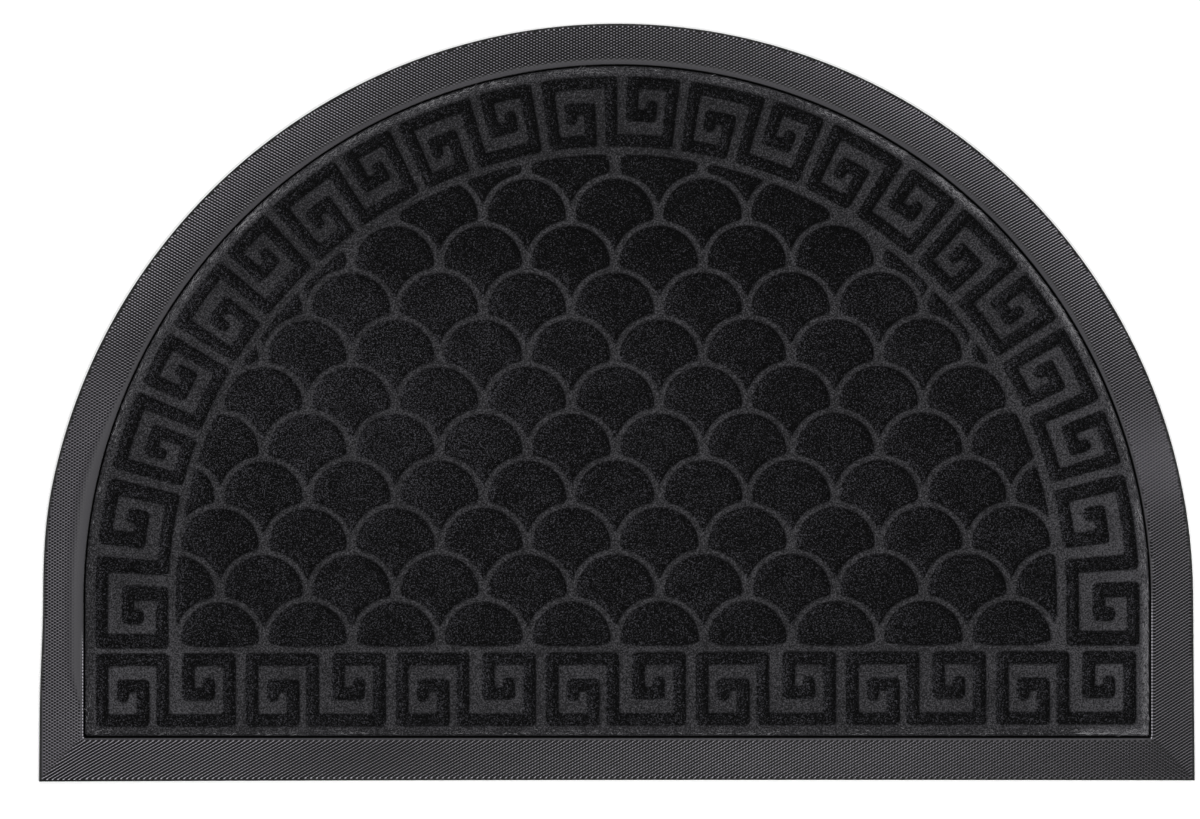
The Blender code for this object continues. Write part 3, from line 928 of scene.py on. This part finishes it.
def makeCarpet(finish):
    step = carpet["gridStep"]
    x, y, quads, edges, _, pinned = gridInside(insertDistance, (step, 0), (0, step), [])
    inside = patternDistance(x, y)
    close = (np.abs(inside) < carpet["snapShare"] * step) & (insertDistance(x, y) > step)
    x[close], y[close] = movedTo(patternDistance, x[close], y[close], 0.0, 2)
    z, inside = carpetHeight(x, y)
    rings = [(insertDistance, 0, carpet["bottom"], [])]
    closing = (0, centreY, carpet["bottom"])
    more, strips, fan = skirt(x, y, edges, pinned, rings, closing, len(x))
    points = np.concatenate([np.stack([x, y, z], 1)] + more)
    shares = np.zeros((3, len(points)))
    overhang = patternDistance(x + felt["overhang"], y)
    shares[0, : len(x)] = np.clip(0.5 + overhang / felt["edgeBlur"], 0, 1)
    shares[1, : len(x)] = litShare(x, y, inside)
    shares[2, : len(x)] = paintedShineShare(x, y) + channelToneShare(x, y)
    return makeMesh(
        "carpetSheet", points, [np.concatenate([quads] + strips), fan], finish,
        {"pile": shares[0], "lit": shares[1], "shineAndToneShift": shares[2]},
    )


# Needle-punched felt: near black where it stands, greyer and smoother where it is pressed. Each has its
# own speckle of lighter fibres, and a figure's left shoulder is painted lighter as lit and its right
# darker as shaded.
def carpetFinish():
    finish, tree, shader = newFinish(*felt["finish"])
    place = addNode(tree, "ShaderNodeTexCoord")
    onPile, lit, shineAndToneShift = [
        addNode(tree, "ShaderNodeAttribute", attribute_name=name) for name in ("pile", "lit", "shineAndToneShift")
    ]
    fibres = noise(tree, place, felt["fibres"], 2, 0.6)
    clouds = noise(tree, place, felt["clouds"], 3)
    speckle = addScaled(tree, fibres, "Fac", clouds, "Fac", felt["cloudShare"])
    litSpeckle = addScaled(tree, speckle, "Value", lit, "Fac", felt["litShare"])
    pileColour = ramp(tree, litSpeckle, "Value", felt["pileShades"])
    shineSpeckle = addScaled(tree, speckle, "Value", shineAndToneShift, "Fac", felt["paintedShineShare"])
    channelColour = ramp(tree, shineSpeckle, "Value", felt["channelShades"])
    blend = addScaled(tree, onPile, "Fac", fibres, "Fac", felt["edgeFibres"])
    share = addNode(tree, "ShaderNodeMapRange", dict(zip(("From Min", "From Max"), felt["edgeRange"])))
    link(tree, blend, "Value", share, "Value")
    mixed = addNode(tree, "ShaderNodeMix", data_type="RGBA")
    # Of a mix of colours, socket 0 is the share, 6 and 7 are the colours, and 2 is the result
    link(tree, share, "Result", mixed, 0)
    link(tree, channelColour, "Color", mixed, 6)
    link(tree, pileColour, "Color", mixed, 7)
    link(tree, mixed, 2, shader, "Base Color")
    addBump(tree, fibres, shader, felt["bumpStrength"], felt["bumpHeight"])
    return finish


# Fibres: thin three-sided spikes, placed at random over the insert

# Random places over the insert that a test keeps, drawn in batches until there are enough
def scattered(rng, count, isWanted, batch=120000):
    x, y = np.empty(0), np.empty(0)
    while len(x) < count:
        tryX = rng.uniform(insertLow[0], insertHigh[0], batch)
        tryY = rng.uniform(insertLow[1], insertHigh[1], batch)
        good = isWanted(tryX, tryY)
        x, y = np.append(x, tryX[good]), np.append(y, tryY[good])
    return x[:count], y[:count]


# Spikes as closed shapes of four triangles: three corners round each root, turned at random, and a
# tip at the root plus the fibre's own direction times its length
def spikes(name, x, y, z, direction, width, length, rng, finish, sunk=0.2 * mm):
    count = len(x)
    turn = rng.uniform(0, 2 * math.pi, count)[:, None] + np.arange(3) * 2 * math.pi / 3
    roots = np.stack([
        x[:, None] + np.cos(turn) * width[:, None],
        y[:, None] + np.sin(turn) * width[:, None],
        np.repeat(z[:, None] - sunk, 3, 1),
    ], -1)
    tips = np.stack([x, y, z], 1) + direction * length[:, None]
    points = np.concatenate([roots, tips[:, None]], 1).reshape(-1, 3)
    first = np.arange(count)[:, None, None] * 4
    faces = (first + np.array([[0, 1, 3], [1, 2, 3], [2, 0, 3], [0, 2, 1]])).reshape(-1, 3)
    return makeMesh(name, points, [faces], finish, isSmooth=False)


# Spikes that lie nearly flat, each turned its own way
def flatSpikes(name, kind, x, y, turn, rng):
    finish = newFinish(*kind["finish"])[0]
    direction = np.stack([np.cos(turn), np.sin(turn), rng.uniform(*kind["rises"], len(x))], 1)
    width = kind["width"] * rng.uniform(*kind["widths"], len(x))
    length = kind["length"] * rng.uniform(*kind["lengths"], len(x))
    return spikes(name, x, y, carpetHeight(x, y)[0], direction, width, length, rng, finish)


# Pile fibres: each piece is one shade of lock
pile = {
    "pieces": (  # name, locks, how much commoner they are where the shoulders are painted lit, and shade
        ("pileDark", 48000, -0.25, (0.0008, 0.0008, 0.0011)),
        ("pileMid", 45000, 0, (0.0040, 0.0040, 0.0047)),
        ("pileLight", 32000, 0.25, (0.066, 0.065, 0.073)),
    ),
    "roughness": 0.7,
    "specular": 0.2,
    "chance": 0.6,
    "inset": 0.5 * mm,  # from a figure's edge
    "width": 0.40 * mm,  # from a lock's middle to its root corners
    "widths": (0.7, 1.2),
    "length": 0.95 * mm,
    "lengths": (0.6, 1.15),
    "lean": 0.5,
    "nap": -0.3,  # the pile leans a little to the left
    "heldReach": 2.5 * mm,  # this near to a figure's edge the locks are shorter and straighter
    "leastHeld": 0.3,
    "shortest": 0.4,
    "seed": 20,
}


def makePile():
    rng = np.random.default_rng(pile["seed"])
    made = []
    for name, count, commoner, shade in pile["pieces"]:
        finish = newFinish(name + "Fibre", pile["roughness"], pile["specular"], shade)[0]

        def isWanted(x, y):
            inside = patternDistance(x, y)
            # Light locks gather where the shoulders are painted lit, dark ones where they are painted
            # shaded
            chance = pile["chance"] + commoner * litShare(x, y, inside)
            return (inside > pile["inset"]) & (rng.uniform(0, 1, len(x)) < chance)

        x, y = scattered(rng, count, isWanted)
        z, inside = carpetHeight(x, y)
        held = np.clip(inside / pile["heldReach"], pile["leastHeld"], 1)
        direction = np.stack([
            rng.normal(pile["nap"], pile["lean"], len(x)) * held,
            rng.normal(0, pile["lean"], len(x)) * held,
            np.ones(len(x)),
        ], 1)
        direction /= np.linalg.norm(direction, axis=1)[:, None]
        width = pile["width"] * rng.uniform(*pile["widths"], len(x))
        length = pile["length"] * rng.uniform(*pile["lengths"], len(x))
        length *= pile["shortest"] + (1 - pile["shortest"]) * held
        made.append(spikes(name, x, y, z, direction, width, length, rng, finish))
    return made


# Pressed fibres in the channels and margin: sparse, short and lying nearly flat
pressed = {
    "fibres": 16000,
    "finish": ("pressedFibre", 0.6, 0.3, (0.10, 0.098, 0.106)),
    "fromFigures": 0.3 * mm,
    "fromEdge": 0.8 * mm,
    "rises": (0.02, 0.25),
    "width": 0.20 * mm,
    "widths": (0.7, 1.3),
    "length": 1.1 * mm,
    "lengths": (0.5, 1.2),
    "seed": 31,
}


def makePressed():
    rng = np.random.default_rng(pressed["seed"])

    def isWanted(x, y):
        inChannel = patternDistance(x, y) < -pressed["fromFigures"]
        return inChannel & (insertDistance(x, y) > pressed["fromEdge"])

    x, y = scattered(rng, pressed["fibres"], isWanted)
    turn = rng.uniform(0, 2 * math.pi, len(x))
    return flatSpikes("pressedFibres", pressed, x, y, turn, rng)


# Flecks: glossy fibres pressed flat along the margin, in clumps; light grey partly as their own colour
# and partly as painted glint, and most where the margin's shine is painted
fleck = {
    "fibres": 5300,
    "finish": ("glintingFibre", 0.4, 0.5, (0.20, 0.196, 0.208)),
    "fromEdge": 0.8 * mm,
    "band": 3.4 * mm,
    "clumps": 14 * mm,
    "seeds": (6, 7),
    "clumpRange": (-0.9, 1.2),  # of the unevenness, from no flecks to most
    "least": 0.05,  # where the margin has no painted shine
    "gain": 1.15,
    "full": 0.5,
    "stray": 0.3,
    "rises": (0.0, 0.2),
    "width": 0.12 * mm,
    "widths": (0.6, 1.4),
    "length": 2.4 * mm,
    "lengths": (0.4, 1.4),
    "seed": 47,
}


def makeFlecks():
    rng = np.random.default_rng(fleck["seed"])

    def isWanted(x, y):
        clump = unevenness(x, y, fleck["clumps"], fleck["seeds"][0])
        clump += 0.5 * unevenness(x, y, fleck["clumps"] / 4, fleck["seeds"][1])
        share = fleck["least"] + fleck["gain"] * paintedShineShare(x, y)
        wanted = smoothStep(clump, *fleck["clumpRange"]) * share
        fromEdge = insertDistance(x, y)
        inBand = (fromEdge > fleck["fromEdge"]) & (fromEdge < fleck["band"])
        return inBand & (rng.uniform(0, fleck["full"], len(x)) < wanted)

    x, y = scattered(rng, fleck["fibres"], isWanted)
    across, along = slope(insertDistance, x, y)
    turn = np.arctan2(along, across) + math.pi / 2 + rng.normal(0, fleck["stray"], len(x))
    return flatSpikes("glintFlecks", fleck, x, y, turn, rng)


tray = makeBacking(rubberFinish())
sheet = makeCarpet(carpetFinish())
locks = makePile()
flat = [makePressed(), makeFlecks()]

for piece in [tray, sheet] + flat + locks:
    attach(piece, "root")
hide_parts("rubber_backing")
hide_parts("carpet_insert")
insertArea = math.pi / 2 * carpet["sideRadius"] * carpet["topRadius"]
insertArea += 2 * carpet["sideRadius"] * (centreY - carpet["frontY"])

# Studio

studio = {
    "millimetresPerPixel": 0.518762,
    "frameWidth": 1200,
    "frameMiddle": (-8.77 * mm, -3.89 * mm),
    "lens": 200,
    "focusHeight": 4 * mm,
    "farthest": 100,
    "world": 0.10,
    "floorHalf": 4.0,
    "floorHeight": -0.3 * mm,
    "floorFinish": ("paleFloor", 0.9, 0.0, (0.93, 0.93, 0.93)),
    "floorGlow": 0.15,
    "lampSize": 0.4,
    "lamps": (  # name, place, power and what it faces
        ("leftSoftbox", (-0.9, -0.05, 1.0), 8.2, (0.4, 0, 0.8)),
        ("rightSoftbox", (0.9, -0.10, 1.0), 7.2, (-0.4, 0, 0.8)),
        ("backSoftbox", (0.02, 0.9, 1.0), 7.2, (0, 0, 0.4)),
        ("frontSoftbox", (0.14, -0.9, 1.0), 7.2, (0, 0, 0.4)),
    ),
}


def makeFloor():
    finish, tree, shader = newFinish(*studio["floorFinish"])
    shader.inputs["Emission Color"].default_value = (1, 1, 1, 1)
    shader.inputs["Emission Strength"].default_value = studio["floorGlow"]
    corners = np.array([(-1, -1, 0), (1, -1, 0), (1, 1, 0), (-1, 1, 0)])
    points = corners * studio["floorHalf"] + (0, 0, studio["floorHeight"])
    floor = makeMesh("floor", points, [np.array([[0, 1, 2, 3]])], finish, isSmooth=False)


def addLamp(name, place, power, aim):
    data = bpy.data.lights.new(name, "AREA")
    data.size = studio["lampSize"]
    data.energy = power
    lamp = bpy.data.objects.new(name, data)
    lamp.location = place
    away = lamp.location - type(lamp.location)(aim)
    lamp.rotation_euler = away.to_track_quat("Z", "Y").to_euler()
    view.collection.objects.link(lamp)


def makeStudio():
    makeFloor()
    for lamp in studio["lamps"]:
        addLamp(*lamp)
    world = bpy.data.worlds.new("studioWorld")
    world.use_nodes = True
    background = world.node_tree.nodes["Background"]
    background.inputs["Color"].default_value = (1, 1, 1, 1)
    background.inputs["Strength"].default_value = studio["world"]
    view.world = world
    view.view_settings.view_transform = "Standard"


# Looks straight down, from so far that the picture's width at the mat is the photo's
def makeCamera():
    data = bpy.data.cameras.new("camera")
    data.lens = studio["lens"]
    width = studio["frameWidth"] * studio["millimetresPerPixel"] * mm
    far = width / data.sensor_width * data.lens
    camera = bpy.data.objects.new("camera", data)
    camera.location = (*studio["frameMiddle"], studio["focusHeight"] + far)
    data.clip_end = studio["farthest"]
    view.collection.objects.link(camera)
    view.camera = camera


makeStudio()
makeCamera()
print("studio and camera are set")
